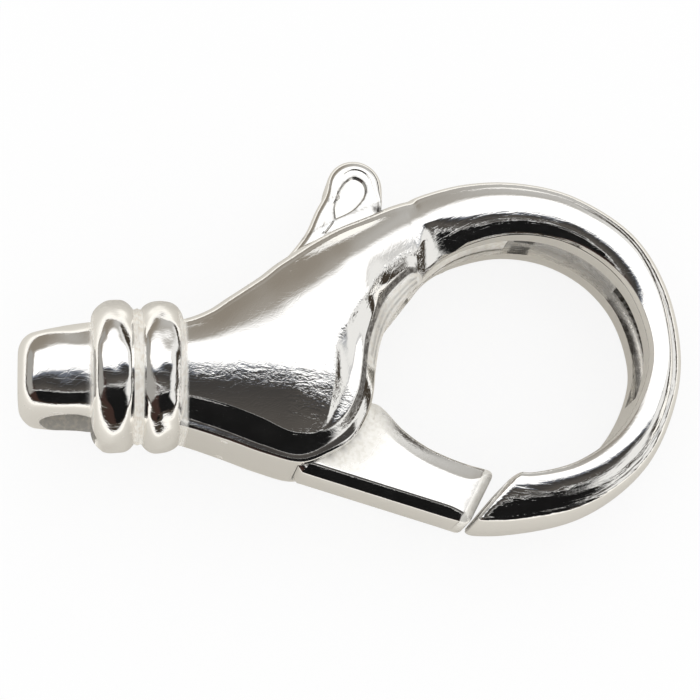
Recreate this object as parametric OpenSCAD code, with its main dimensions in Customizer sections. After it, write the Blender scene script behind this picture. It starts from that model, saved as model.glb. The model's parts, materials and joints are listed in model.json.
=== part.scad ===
/* [Eye and hook] */
// Radius of the eye inside the hook
eye_r = 5.55; // [5:0.05:6.2]
// Height of the eye's centre above the tail axis
eye_rise = 0.7; // [0.4:0.05:1]
// Width of the hook from the eye outwards, where it is narrowest
hook_w = 2; // [1.7:0.05:2.4]
// Depth of the hook, front to back
hook_d = 4.4; // [4:0.1:5]
// Depth of the channel inside the hook
channel_t = 0.45; // [0.35:0.05:0.7]
// Width of the channel inside the hook
channel_w = 1.7; // [1.5:0.05:2]
// Depth of the square pocket beyond the channel's floor
pocket_t = 0.6; // [0.4:0.05:0.8]

/* [Body] */
// Distance from the eye's centre to the collar
body_len = 15.2; // [14.5:0.1:16.5]
// Depth of the body at its crown
body_d = 5.5; // [5.2:0.1:6]
// Half height of the neck beside the collar
neck_r = 2.7; // [2.4:0.05:2.9]
// Lowest point of the body below the tail axis
body_drop = 4.35; // [4.1:0.05:4.7]
// Width of the bevel round the cheeks
cheek_bevel = 1; // [0.7:0.05:1.2]
// Width of the slot between the cheeks
slot_w = 2.6; // [2.3:0.05:2.8]

/* [Lever] */
// Gap between the lever and each cheek
side_gap = 0.06; // [0.04:0.01:0.12]
// Gap round the lever where it swings in the slot
swing_gap = 0.12; // [0.08:0.01:0.2]
// Smallest gap between the gate's end and the hook's tip
tip_gap = 0.16; // [0.12:0.01:0.3]
// How much wider that gap is at its inner end
tip_wedge = 0.6; // [0.3:0.05:0.8]
// Angle that the gate opens
swing = 20; // [12:1:22]
// Radius of the hub round the pin
hub_r = 1.35; // [1.2:0.05:1.5]
// Height of the tab's round end above the body's top edge, to its centre
tab_rise = 1.3; // [1:0.05:1.6]
// Radius of the thumb tab's round end
tab_r = 1.28; // [1.1:0.02:1.4]
// Depth of the panel sunk in the tab
panel_t = 0.15; // [0.08:0.01:0.25]

/* [Pivot pin] */
// Radius of the pin
pin_r = 0.6; // [0.4:0.05:0.8]
// Gap between the pin and its holes, on the radius
pin_gap = 0.03; // [0.02:0.005:0.06]
// Depth that the pin is seated in each cheek
pin_seat = 0.65; // [0.4:0.05:0.8]

/* [Collar and bail] */
// Outer radius of the collar's two rings
collar_r = 3.42; // [3.2:0.02:3.7]
// Width of each ring
ring_w = 2; // [1.8:0.05:2.2]
// Radius at the floor of the groove between the rings
groove_r = 3; // [2.9:0.02:3.1]
// Width of the groove's flat floor
groove_w = 0.45; // [0.3:0.05:0.6]
// Length of the bail from the collar to its end
bail_len = 3.1; // [2.9:0.05:3.7]
// Width of the bail beside the collar, along its hole
bail_w = 3.7; // [3:0.1:4.2]
// Width of the bail at its end
bail_end_w = 3.1; // [2.6:0.1:3.6]
// Distance of the bail's end below the tail axis
bail_end_drop = 0.15; // [0:0.05:0.3]
// Depth of the bail, front to back
bail_d = 5.1; // [4.8:0.1:5.4]
// Radius of the bail's corners
bail_corner = 1.3; // [0.9:0.05:1.5]
// Radius of the hole through the bail
bail_hole_r = 1.4; // [1.2:0.05:1.5]
// Distance of the hole below the bail's middle, towards the back
bail_hole_drop = 0.2; // [0:0.05:0.3]
// Thickness of the bail's end beyond its hole
bail_end_t = 0.9; // [0.8:0.05:1.2]

/* [Leaf spring] */
// Thickness of the leaf
leaf_t = 0.25; // [0.2:0.05:0.35]
// Gap between the leaf and the channel
leaf_gap = 0.05; // [0.03:0.01:0.08]

/* [Hidden] */
$fn = 64;
STEPS = 3;              // sections made between two rows of a table
FACE_STEPS = 4;         // points from the bevel to the crown
SIDE_STEPS = 6;         // points from the crown to the outer edge

// Lengths and places are worked out on the tail axis, from the eye's centre
eye = [0, eye_rise];

function lerp(a, b, s) = a + (b - a) * s;
function polar(r, a) = [r * cos(a), r * sin(a)];

// Hook, from the tip round to the neck
// inner angle, inner radius / eye_r, outer angle, width / hook_w
HOOK = [
    [-100, 1.01, -112, 1.50],
    [ -92, 1.00,  -98, 1.25],
    [ -70, 0.97,  -72, 1.14],
    [ -45, 0.96,  -45, 1.03],
    [ -20, 0.97,  -20, 0.97],
    [   0, 1.00,    0, 0.99],
    [  25, 1.01,   25, 1.11],
    [  45, 1.01,   46, 1.28],
    [  68, 1.00,   70, 1.38],
    [  90, 0.99,   90, 1.47],
    [ 110, 0.99,  107, 1.58],
    [ 129, 1.02,  122, 1.66]
];
HOOK_WALL = 0.75;       // flat inner wall, share of the hook's depth
HOOK_CROWN = 0.42;      // place of the crown, share of the section's width

// Body beside the eye: top edge between the hook (0) and the collar (1) along and up,
// lip / eye_r along and up, wall / hook depth, bevel / cheek_bevel, crown / body depth, crown place
LIP = [
    [0.11, 0.055, -0.94,  0.47, 0.66, 1.50, 0.86, 0.42],
    [0.23, 0.155, -1.11,  0.25, 0.60, 1.05, 0.91, 0.34],
    [0.34, 0.24, -1.20,  0.04, 0.60, 0.95, 0.95, 0.30],
    [0.43, 0.33, -1.25, -0.18, 0.60, 1.05, 0.98, 0.28],
    [0.50, 0.41, -1.28, -0.38, 0.60, 1.00, 1.00, 0.27]
];
// Belly: top edge as above, bottom edge between the lip (0) and the collar (1) along,
// and between the neck (0) and the lowest point (1) down, then as above
BELLY = [
    [0.57, 0.50, 0.04, -0.22, 0.62, 0.88, 1.00, 0.28],
    [0.63, 0.58, 0.12,  0.36, 0.66, 0.70, 1.00, 0.31],
    [0.68, 0.66, 0.25,  0.76, 0.72, 0.45, 1.00, 0.34],
    [0.74, 0.74, 0.40,  1.00, 0.77, 0.38, 1.00, 0.38],
    [0.82, 0.84, 0.59,  0.76, 0.80, 0.36, 0.98, 0.42],
    [0.90, 0.94, 0.79,  0.38, 0.80, 0.30, 0.95, 0.46],
    [1.00, 1.01, 1.00,  0.02, 0.80, 0.27, 0.91, 0.50],
    [1.10, 1.03, 1.13, -0.12, 0.80, 0.25, 0.87, 0.50]
];
BEVEL_RISE = 0.13;      // rise of the bevel, share of the hook's depth

// A row: outer point, inner point, wall, bevel width, bevel rise, crown, crown place, fullness
function hook_row(h) = let (
    inner = eye + polar(eye_r * h[1], h[0]),
    outer = eye + polar(eye_r * h[1] + hook_w * h[3], h[2])
) [outer[0], outer[1], inner[0], inner[1], HOOK_WALL * hook_d / 2, 0.03, 0.02, hook_d / 2,
   HOOK_CROWN * norm(outer - inner), 2.1];

hook_end = [for (i = [0, 1]) hook_row(HOOK[len(HOOK) - 1])[i]];
lip_end = LIP[len(LIP) - 1];

function top_edge(a, b) = [lerp(hook_end[0], -body_len, a), lerp(hook_end[1], neck_r, b)];
function body_row(outer, inner, r) = [outer[0], outer[1], inner[0], inner[1],
    r[4] * hook_d / 2, r[5] * cheek_bevel, BEVEL_RISE * hook_d,
    r[6] * body_d / 2, r[7] * norm(outer - inner), 2.6];
function lip_row(r) = body_row(top_edge(r[0], r[1]), eye + eye_r * [r[2], r[3]], r);
function belly_row(r) = body_row(top_edge(r[0], r[1]),
    [lerp(eye_r * lip_end[2], -body_len, r[2]), -lerp(neck_r, body_drop, r[3])], r);

ROWS = concat([for (h = HOOK) hook_row(h)], [for (r = LIP) lip_row(r)], [for (r = BELLY) belly_row(r)]);

// Smooth curve through the rows
function between(p, q, r, s, t) = 0.5 * (2 * q + (r - p) * t + (2 * p - 5 * q + 4 * r - s) * t * t
    + (3 * q - p - 3 * r + s) * t * t * t);
function clamp_row(i) = ROWS[max(0, min(len(ROWS) - 1, i))];
SECTIONS = [for (i = [0 : len(ROWS) - 2]) for (k = [0 : STEPS - 1])
    between(clamp_row(i - 1), clamp_row(i), clamp_row(i + 1), clamp_row(i + 2), k / STEPS),
    ROWS[len(ROWS) - 1]];

// Half outline of a section: distance from the inner point, and height
function half_outline(r) = let (
    w = norm([r[0] - r[2], r[1] - r[3]]),
    edge = r[4] + r[6]
) concat(
    [[0, r[4]]],
    [for (k = [0 : FACE_STEPS - 1]) let (f = k / FACE_STEPS)
        [lerp(r[5], r[8], f), lerp(edge, r[7], 1 - pow(1 - f, 2))]],
    [for (k = [0 : SIDE_STEPS - 1]) let (a = 90 * k / SIDE_STEPS)
        [lerp(r[8], w, pow(sin(a), 2 / r[9])), r[7] * pow(cos(a), 2 / r[9])]],
    [[w, 0]]
);
function section(r) = let (
    h = half_outline(r),
    n = len(h),
    along = ([r[0], r[1]] - [r[2], r[3]]) / norm([r[0] - r[2], r[1] - r[3]]),
    flat = concat(h, [for (k = [n - 2 : -1 : 0]) [h[k][0], -h[k][1]]])
) [for (p = flat) [r[2] + along[0] * p[0], r[3] + along[1] * p[0], p[1]]];

module loft(sections) {
    n = len(sections[0]);
    last = (len(sections) - 1) * n;
    points = [for (s = sections) for (p = s) p];
    sides = [for (i = [0 : len(sections) - 2]) for (k = [0 : n - 1]) let (
        a = i * n + k,
        b = i * n + (k + 1) % n
    ) each [[a, b + n, b], [a, a + n, b + n]]];
    caps = [[for (k = [0 : n - 1]) k], [for (k = [n - 1 : -1 : 0]) last + k]];
    polyhedron(points, concat(sides, caps), convexity = 6);
}

// Places
pivot = [lerp(eye_r * lip_end[2], -body_len, 0.385), -0.52 * body_drop];
collar_x = -body_len;
bail_end_x = collar_x - 2 * ring_w - bail_len;
bail_hole_x = bail_end_x + bail_end_t + bail_hole_r;
tip_inner = [ROWS[0][2], ROWS[0][3]];
tip_outer = [ROWS[0][0], ROWS[0][1]];
lever_t = slot_w - 2 * side_gap;

function unit(v) = v / norm(v);
function turn(p, a) = pivot + [
    (p - pivot)[0] * cos(a) - (p - pivot)[1] * sin(a),
    (p - pivot)[0] * sin(a) + (p - pivot)[1] * cos(a)
];
function arc(centre, r, from, to, n) = [for (k = [0 : n]) centre + polar(r, lerp(from, to, k / n))];

// Lever: its gate runs from the heel under the body to the hook's tip
tip_along = unit(tip_inner - tip_outer);
tip_away = [-tip_along[1], tip_along[0]];
gate_low = tip_outer + 0.15 * hook_w * tip_along + tip_gap * tip_away;
gate_high = tip_inner - 0.2 * hook_w * tip_along + (tip_gap + tip_wedge) * tip_away;
heel = [pivot[0] + 0.02 * body_drop, -1.06 * body_drop];
shoulder = eye + eye_r * [lip_end[2], lip_end[3]] + [0.05, -0.1];
tab_foot = top_edge(0.245, 0.165);
tab_centre = tab_foot + [0, tab_rise];
tab_left = top_edge(0.66, 0.73);
tab_right = top_edge(0.13, 0.05);
// Top of the gate between the shoulder (0) and its upper corner (1): along, down
GATE_TOP = [
    [0.00, 0.00], [0.07, 0.03], [0.14, 0.14], [0.26, 0.38],
    [0.44, 0.62], [0.62, 0.78], [0.80, 0.90], [0.94, 0.97]
];
gate_top = [for (g = GATE_TOP)
    [lerp(shoulder[0], gate_high[0], g[0]), lerp(shoulder[1], gate_high[1], g[1])]];
// Back of the lever inside the slot, between the shoulder (0) and the tab's right root (1): along, up
LEVER_BACK = [[-0.40, 0.10], [-0.55, 0.28], [-0.30, 0.48], [0.25, 0.70], [0.85, 0.90]];
lever_back = [for (b = LEVER_BACK)
    [lerp(shoulder[0], tab_right[0], b[0]), lerp(shoulder[1], tab_right[1], b[1])]];
// Flare of the tab's left flank, between the body's edge (0) and the round end (1): along, up
TAB_FLANK = [[0.00, 0.00], [0.31, 0.20], [0.55, 0.40], [0.70, 0.56], [0.82, 0.76], [0.94, 0.90]];
flank_top = tab_centre - [tab_r, 0.1 * tab_r];
tab_flank = [for (f = TAB_FLANK)
    [lerp(tab_left[0], flank_top[0], f[0]), lerp(tab_left[1], flank_top[1], f[1])]];
lever_outline = concat(
    [heel, gate_low],
    [gate_high],
    [for (k = [len(gate_top) - 1 : -1 : 0]) gate_top[k]],
    lever_back,
    [tab_right],
    arc(tab_centre, tab_r, -15, 180, 16),
    [for (k = [len(tab_flank) - 1 : -1 : 0]) tab_flank[k]],
    arc(pivot, hub_r, 180, 230, 4)
);

// Slot: room for the lever from rest to its full swing
slot_r = hub_r + swing_gap;
slot_top_left = turn(tab_left, swing) - [swing_gap, 0];
over = 3;               // how far the slot's outline passes the metal
slot_outline = concat(
    [tab_right + [swing_gap + 0.15, over], tab_right + [swing_gap + 0.15, -1],
     eye + eye_r * [-0.90, 0.76], eye + eye_r * [-0.86, 0.56], eye + eye_r * [-0.70, 0.30],
     [shoulder[0] + 1, shoulder[1]], [shoulder[0] + 1, heel[1] - over],
     [heel[0] - swing_gap, heel[1] - over], [heel[0] - swing_gap, heel[1]]],
    arc(pivot, slot_r, 230, 180, 4),
    [slot_top_left, slot_top_left + [0, over]]
);

// Leaf: follows the channel, then runs straight on into the slot
leaf_bend = 130;
leaf_tip = 92;
channel_r = eye_r + channel_t;
leaf_r = channel_r - leaf_gap - leaf_t;
leaf_run = 0.68 * eye_r;
leaf_w = channel_w - 4 * leaf_gap;

module ring_sector(r_in, r_out, from, to, h) {
    translate([eye[0], eye[1], -h / 2])
        rotate([0, 0, from])
            rotate_extrude(angle = to - from)
                translate([r_in, 0])
                    square([r_out - r_in, h]);
}

// Straight run that leaves the ring along its tangent, lapped a little into it
module tangent_run(r_in, r_out, at, len, h) {
    lap = 0.1;
    translate([eye[0], eye[1], 0])
        rotate([0, 0, at])
            translate([r_in, -lap, -h / 2])
                cube([r_out - r_in, len + lap, h]);
}

module collar() {
    rotate([0, 90, 0])
        rotate_extrude() {
            translate([0, collar_x - 2 * ring_w])
                square([collar_r - ring_w / 2, 2 * ring_w]);
            translate([0, collar_x - ring_w - groove_w / 2])
                square([groove_r, groove_w]);
            for (k = [0.5, 1.5])
                translate([collar_r - ring_w / 2, collar_x - k * ring_w])
                    circle(r = ring_w / 2);
        }
}

module bail_side() {
    rotate([90, 0, 0])
        linear_extrude(2 * bail_w, center = true) {
            translate([bail_end_x + bail_corner, -bail_d / 2])
                square([bail_len - bail_corner + ring_w / 2, bail_d]);
            translate([bail_end_x, -bail_d / 2 + bail_corner])
                square([bail_corner, bail_d - 2 * bail_corner]);
            for (side = [-1, 1])
                translate([bail_end_x + bail_corner, side * (bail_d / 2 - bail_corner)])
                    circle(r = bail_corner);
        }
}

module bail() {
    inside = collar_x - 1.5 * ring_w;
    intersection() {
        bail_side();
        linear_extrude(2 * bail_d, center = true)
            polygon([
                [bail_end_x, -bail_end_w / 2 - bail_end_drop], [collar_x - 2 * ring_w, -bail_w / 2],
                [inside, -bail_w / 2], [inside, bail_w / 2],
                [collar_x - 2 * ring_w, bail_w / 2], [bail_end_x, bail_end_w / 2 - bail_end_drop]
            ]);
    }
}

module slot() {
    linear_extrude(slot_w, center = true)
        polygon(slot_outline);
}

module channel() {
    ring_sector(eye_r - 1, channel_r, -22, leaf_bend, channel_w);
    tangent_run(eye_r - 1, channel_r, leaf_bend, leaf_run, channel_w);
    ring_sector(eye_r - 1, channel_r + pocket_t, 80, 87, channel_w - 2 * leaf_t);
}

module pin_hole() {
    translate([pivot[0], pivot[1], 0])
        cylinder(r = pin_r + pin_gap, h = slot_w + 2 * (pin_seat + pin_gap), center = true);
}

module bail_hole() {
    translate([bail_hole_x, 0, -bail_hole_drop])
        rotate([90, 0, 0])
            cylinder(r = bail_hole_r, h = 3 * collar_r, center = true);
}

module case() {
    color("silver")
        difference() {
            union() {
                loft([for (r = SECTIONS) section(r)]);
                collar();
                bail();
            }
            slot();
            channel();
            pin_hole();
            bail_hole();
        }
}

// Sunk panel of the tab: a drop with its point towards the body
module panel() {
    panel_r = 0.48 * tab_r;
    point = tab_centre - [0.70 * tab_r, 1.3 * tab_r];
    translate([0, 0, lever_t / 2 - panel_t])
        linear_extrude(1)
            polygon(concat([point], arc(tab_centre + [0.18, 0.2] * panel_r, panel_r, -20, 160, 12)));
}

module lever() {
    color("gainsboro")
        difference() {
            linear_extrude(lever_t, center = true)
                polygon(lever_outline);
            panel();
            pin_hole();
        }
}

module pivot_pin() {
    color("gray")
        translate([pivot[0], pivot[1], 0])
            cylinder(r = pin_r, h = slot_w + 2 * pin_seat, center = true);
}

module leaf_spring() {
    color("lightgray") {
        ring_sector(leaf_r, leaf_r + leaf_t, leaf_tip, leaf_bend, leaf_w);
        tangent_run(leaf_r, leaf_r + leaf_t, leaf_bend, leaf_run, leaf_w);
    }
}

// The clasp rests on its collar and on the far end of its hook
rest_span = eye_r + HOOK_CROWN * hook_w - (collar_x - ring_w / 2);
rest_drop = collar_r - ring_w / 2 - hook_d / 2;
rest_tilt = asin(ring_w / 2 / norm([rest_span, rest_drop])) + atan2(rest_drop, rest_span);
rest_rise = (collar_x - ring_w / 2) * sin(rest_tilt)
    + (collar_r - ring_w / 2) * cos(rest_tilt) + ring_w / 2;
all_y = concat([for (r = SECTIONS) r[1]], [for (p = lever_outline) p[1]], [-collar_r, collar_r]);
x_low = (bail_end_x + bail_corner) * cos(rest_tilt) - (bail_d / 2 - bail_corner) * sin(rest_tilt) - bail_corner;
x_high = max([for (r = SECTIONS) r[0]]) * cos(rest_tilt);

module placed() {
    translate([-(x_low + x_high) / 2, -(min(all_y) + max(all_y)) / 2, rest_rise])
        rotate([0, rest_tilt, 0])
            children();
}

placed() case();
placed() lever();
placed() pivot_pin();
placed() leaf_spring();
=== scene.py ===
import json
import math
import bmesh
import bpy
import numpy as np
from mathutils import Matrix, Vector, noise
from mathutils.geometry import delaunay_2d_cdt
from numpy.linalg import norm


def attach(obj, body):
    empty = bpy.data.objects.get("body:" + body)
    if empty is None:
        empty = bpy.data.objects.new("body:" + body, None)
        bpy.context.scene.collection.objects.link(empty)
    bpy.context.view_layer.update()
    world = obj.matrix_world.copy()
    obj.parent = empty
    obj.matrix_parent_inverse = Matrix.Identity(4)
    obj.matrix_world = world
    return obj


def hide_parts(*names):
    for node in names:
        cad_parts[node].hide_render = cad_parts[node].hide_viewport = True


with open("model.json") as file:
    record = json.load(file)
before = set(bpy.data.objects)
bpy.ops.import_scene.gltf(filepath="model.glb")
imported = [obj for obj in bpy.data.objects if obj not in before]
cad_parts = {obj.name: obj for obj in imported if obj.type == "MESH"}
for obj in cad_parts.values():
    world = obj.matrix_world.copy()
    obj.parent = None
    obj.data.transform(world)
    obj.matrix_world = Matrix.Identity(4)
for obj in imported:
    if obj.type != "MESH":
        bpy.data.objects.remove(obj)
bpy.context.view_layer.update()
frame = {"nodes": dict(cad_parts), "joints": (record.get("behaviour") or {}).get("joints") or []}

# Lengths below are millimetres, on the clasp's own axes: x along the tail from the eye's centre,
# y towards the thumb tab, z out of the face. The clasp lies tilted, so toRow turns and moves them.
eyeRadius = 5.55
eyeRise = 0.7
bodyLength = 15.2
bodyDrop = 4.35
neckRadius = 2.7
hookWidth = 2.0
hookDepth = 4.4
slotWidth = 2.6
ringWidth = 2.0
collarRadius = 3.42
eye = np.array([0.0, eyeRise])

# Hook sections: inner angle, inner radius / eyeRadius, outer angle, width / hookWidth, trim, drop to the
# inner edge, crown place / width, face curve, drop to the outer rim, rim radius
hookRows = [
    (-100, 1.01, -112, 1.50, 0.14, 0.14, 0.16, 2.0, 0.56, 0.36),
    (-92, 1.00, -98, 1.25, 0.08, 0.14, 0.17, 2.0, 0.55, 0.40),
    (-70, 0.97, -72, 1.14, 0.08, 0.14, 0.20, 2.0, 0.52, 0.46),
    (-45, 0.96, -45, 1.03, 0.00, 0.14, 0.26, 2.0, 0.42, 0.52),
    (-20, 0.97, -20, 0.97, 0.08, 0.16, 0.34, 2.0, 0.26, 0.66),
    (0, 1.00, 0, 0.99, 0.22, 0.18, 0.40, 2.0, 0.14, 0.80),
    (25, 1.01, 25, 1.11, 0.24, 0.24, 0.44, 2.4, 0.10, 0.80),
    (45, 1.01, 46, 1.28, 0.24, 0.32, 0.48, 2.8, 0.12, 0.70),
    (68, 1.00, 70, 1.38, 0.24, 0.42, 0.52, 3.0, 0.18, 0.56),
    (90, 0.99, 90, 1.47, 0.20, 0.50, 0.54, 3.0, 0.24, 0.52),
    (110, 0.99, 107, 1.58, 0.15, 0.58, 0.53, 2.4, 0.29, 0.54),
    (129, 1.02, 122, 1.66, 0.13, 0.76, 0.48, 1.12, 0.34, 0.58),
]
# Body sections, two lines each: place on the top edge along and up, on the inner edge along and up, wall
# height; then distance in and height of the band's end, the bevel's top, the hollow and the ridge, face
# curve, crown place / width and height, drop to the outer rim, rim radius. The inner places follow the eye
# on the lip and the belly's edge below.
lipRows = [
    (0.022, 0.000, -0.75, 0.70, 1.33,
     0.15, 1.40, 0.36, 1.53, 0.80, 1.80, 1.20, 2.03, 1.2, 0.49, 2.23, 0.345, 0.58),
    (0.05, 0.016, -0.84, 0.59, 1.36,
     0.20, 1.44, 0.40, 1.57, 0.85, 1.84, 1.25, 2.08, 1.2, 0.50, 2.27, 0.35, 0.58),
    (0.065, 0.0255, -0.862, 0.564, 1.40,
     0.50, 1.60, 0.70, 1.76, 0.95, 1.90, 1.30, 2.12, 1.2, 0.51, 2.30, 0.36, 0.58),
    (0.11, 0.057, -0.93, 0.48, 1.50,
     0.78, 1.69, 1.06, 1.95, 1.25, 2.06, 1.60, 2.25, 1.3, 0.53, 2.40, 0.40, 0.58),
    (0.23, 0.155, -1.11, 0.25, 1.62,
     0.98, 1.94, 1.26, 2.18, 1.52, 2.33, 1.98, 2.54, 1.4, 0.56, 2.70, 0.62, 0.58),
    (0.34, 0.24, -1.20, 0.04, 1.78,
     0.95, 2.18, 1.25, 2.41, 1.65, 2.56, 2.18, 2.79, 1.5, 0.56, 2.93, 0.84, 0.56),
    (0.43, 0.33, -1.25, -0.18, 1.90,
     1.02, 2.28, 1.46, 2.48, 1.95, 2.61, 2.70, 2.89, 1.6, 0.56, 3.04, 0.94, 0.55),
    (0.50, 0.41, -1.28, -0.38, 1.90,
     0.95, 2.30, 1.42, 2.48, 2.20, 2.60, 3.16, 2.97, 1.6, 0.58, 3.12, 1.00, 0.55),
]
bellyRows = [
    (0.57, 0.50, 0.04, -0.22, 1.88,
     0.62, 2.12, 1.12, 2.42, 1.80, 2.53, 3.30, 2.96, 1.6, 0.58, 3.17, 1.02, 0.55),
    (0.63, 0.58, 0.12, 0.36, 1.92,
     0.50, 2.04, 0.98, 2.42, 1.60, 2.52, 2.38, 2.90, 1.5, 0.56, 3.19, 1.00, 0.55),
    (0.68, 0.66, 0.25, 0.76, 1.96,
     0.36, 2.02, 0.86, 2.38, 0.96, 2.42, 1.10, 2.48, 1.9, 0.52, 3.19, 0.96, 0.56),
    (0.74, 0.74, 0.40, 1.00, 1.88,
     0.32, 1.93, 1.05, 2.36, 1.12, 2.39, 1.20, 2.43, 1.5, 0.52, 3.14, 0.88, 0.58),
    (0.82, 0.84, 0.59, 0.76, 1.82,
     0.35, 1.86, 1.36, 2.44, 1.41, 2.47, 1.47, 2.50, 1.5, 0.54, 3.00, 0.76, 0.60),
    (0.90, 0.94, 0.79, 0.38, 1.78,
     0.36, 1.82, 1.34, 2.37, 1.39, 2.39, 1.44, 2.42, 1.5, 0.56, 2.80, 0.62, 0.62),
    (1.00, 1.01, 1.00, 0.02, 1.72,
     0.35, 1.76, 1.20, 2.22, 1.25, 2.24, 1.30, 2.26, 1.5, 0.57, 2.58, 0.50, 0.62),
    (1.10, 1.03, 1.13, -0.12, 1.68,
     0.34, 1.72, 1.12, 2.12, 1.17, 2.14, 1.22, 2.16, 1.5, 0.56, 2.45, 0.46, 0.60),
]


def lerp(a, b, t):
    return a + (b - a) * t


def polar(radius, degrees):
    return radius * np.array([math.cos(math.radians(degrees)), math.sin(math.radians(degrees))])


def smoothStep(low, high, value):
    t = np.clip((value - low) / (high - low), 0, 1)
    return t * t * (3 - 2 * t)


def arc(centre, radius, start, stop, steps):
    return [np.asarray(centre) + polar(radius, lerp(start, stop, k / steps)) for k in range(steps + 1)]


def throughPoints(points, steps, closed=False):
    # Catmull-Rom curve through the points
    p = np.asarray(points, float)
    n = len(p)
    pick = (lambda i: p[i % n]) if closed else (lambda i: p[min(max(i, 0), n - 1)])
    out = []
    for i in range(n if closed else n - 1):
        a, b, c, d = pick(i - 1), pick(i), pick(i + 1), pick(i + 2)
        for k in range(steps):
            t = k / steps
            out.append(0.5 * (2 * b + (c - a) * t + (2 * a - 5 * b + 4 * c - d) * t ** 2
                              + (3 * b - a - 3 * c + d) * t ** 3))
    if not closed:
        out.append(p[-1])
    return np.array(out)


# The tail, the top edge and the pivot follow from the sizes above
hookEnd = eye + polar(eyeRadius * hookRows[-1][1] + hookWidth * hookRows[-1][3], hookRows[-1][2])
lipEnd = lipRows[-1]
pivot = np.array([lerp(eyeRadius * lipEnd[2], -bodyLength, 0.385), -0.52 * bodyDrop])


def topEdge(along, up):
    return np.array([lerp(hookEnd[0], -bodyLength, along), lerp(hookEnd[1], neckRadius, up)])


hinge = frame["joints"][0]
tilt = math.atan2(hinge["axis"][0], hinge["axis"][2])
turnRow = np.array([[math.cos(tilt), 0, math.sin(tilt)], [0, 1, 0], [-math.sin(tilt), 0, math.cos(tilt)]])
shiftRow = np.array(hinge["pos_m"]) - turnRow @ np.array([pivot[0], pivot[1], 0]) / 1000


def toRow(points):
    return np.asarray(points, float) @ turnRow.T / 1000 + shiftRow


def makeMesh(name, points, faces):
    mesh = bpy.data.meshes.new(name)
    mesh.from_pydata([tuple(p) for p in toRow(points)], [], faces)
    mesh.validate()
    mesh.update()
    piece = bpy.data.objects.new(name, mesh)
    bpy.context.scene.collection.objects.link(piece)
    return piece


def facedOutward(piece, merge=0.0):
    bm = bmesh.new()
    bm.from_mesh(piece.data)
    if merge:
        bmesh.ops.remove_doubles(bm, verts=bm.verts, dist=merge)
        bmesh.ops.dissolve_degenerate(bm, edges=bm.edges, dist=merge / 20)
    bmesh.ops.recalc_face_normals(bm, faces=bm.faces)
    bm.to_mesh(piece.data)
    bm.free()
    return piece


def ringFaces(rings, count, capStart=True, capEnd=True):
    faces = []
    for i in range(rings - 1):
        for k in range(count):
            n = (k + 1) % count
            faces.append((i * count + k, i * count + n, (i + 1) * count + n, (i + 1) * count + k))
    if capStart:
        faces.append(tuple(reversed(range(count))))
    if capEnd:
        faces.append(tuple(range((rings - 1) * count, rings * count)))
    return faces


def ringSolid(name, points, rings):
    return facedOutward(makeMesh(name, points, ringFaces(rings, len(points) // rings)))


def extruded(name, outline, low, high):
    return ringSolid(name, [(p[0], p[1], z) for z in (low, high) for p in outline], 2)


def combined(piece, other, operation):
    modifier = piece.modifiers.new(operation, "BOOLEAN")
    modifier.operation = operation
    modifier.object = other
    modifier.solver = "MANIFOLD"
    graph = bpy.context.evaluated_depsgraph_get()
    mesh = bpy.data.meshes.new_from_object(piece.evaluated_get(graph))
    piece.modifiers.clear()
    old = piece.data
    piece.data = mesh
    mesh.name = piece.name
    bpy.data.meshes.remove(old)
    bpy.data.objects.remove(other)
    return piece


# The case: hook, body, collar and bail are one casting
caseLook = {"sectionSteps": 10, "straightSteps": (5, 1, 6, 5, 4, 6), "faceSteps": 26, "backSteps": 14,
            "rimSteps": 10, "rimStart": 14, "sideSteps": 7, "crease": 0.09, "facet": 0.13,
            "corners": (0.05, 0.03, 0.06, 0.10, 0.22, 0.06), "hookWall": 1.65, "hookBevel": 0.11,
            "bodyTrim": 0.20, "bodyBulge": 0.34, "hookBulge": 0.22, "tipRound": 0.42, "tipSections": 30}


def hookRow(row):
    inner = eye + polar(eyeRadius * row[1], row[0])
    outer = eye + polar(eyeRadius * row[1] + hookWidth * row[3] - row[4], row[2])
    width = norm(outer - inner)
    crown = hookDepth / 2
    bevel = caseLook["hookBevel"]
    crownAt = row[6] * width
    wall = min(caseLook["hookWall"], crown - row[5] - bevel)
    nodes = [bevel * 0.6, lerp(wall, crown - row[5], 0.5)]
    for s in (bevel, bevel + 0.04, bevel + 0.08):
        nodes += [s, crown - row[5] * (1 - (s - bevel) / (crownAt - bevel)) ** row[7]]
    return [*outer, *inner, wall, *nodes, row[7], crownAt, crown, row[8], row[9], caseLook["hookBulge"]]


def lipInner(row):
    return eye + eyeRadius * np.array(row[2:4])


def bellyInner(row):
    return np.array([lerp(eyeRadius * lipEnd[2], -bodyLength, row[2]), -lerp(neckRadius, bodyDrop, row[3])])


def bodyRow(row, inner):
    outer = topEdge(row[0], row[1])
    width = norm(outer - inner)
    outer = lerp(outer, inner, caseLook["bodyTrim"] / width)
    return [*outer, *inner, *row[4:14], row[14] * width, *row[15:], caseLook["bodyBulge"]]


def bodyRows():
    return [bodyRow(r, lipInner(r)) for r in lipRows] + [bodyRow(r, bellyInner(r)) for r in bellyRows]


def softCorner(a, b, c, radius, steps=4):
    # the corner b between a and c, rounded
    a, b, c = np.array(a), np.array(b), np.array(c)
    back, ahead = norm(a - b), norm(c - b)
    r = min(radius, 0.45 * back, 0.45 * ahead)
    start = b + (a - b) / back * r
    stop = b + (c - b) / ahead * r
    return [tuple(lerp(lerp(start, b, t), lerp(b, stop, t), t)) for t in np.linspace(0, 1, steps + 1)]


def between(a, b, steps):
    # the points inside the straight from a to b
    return [tuple(lerp(np.array(a), np.array(b), k / steps)) for k in range(1, steps)]


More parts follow.
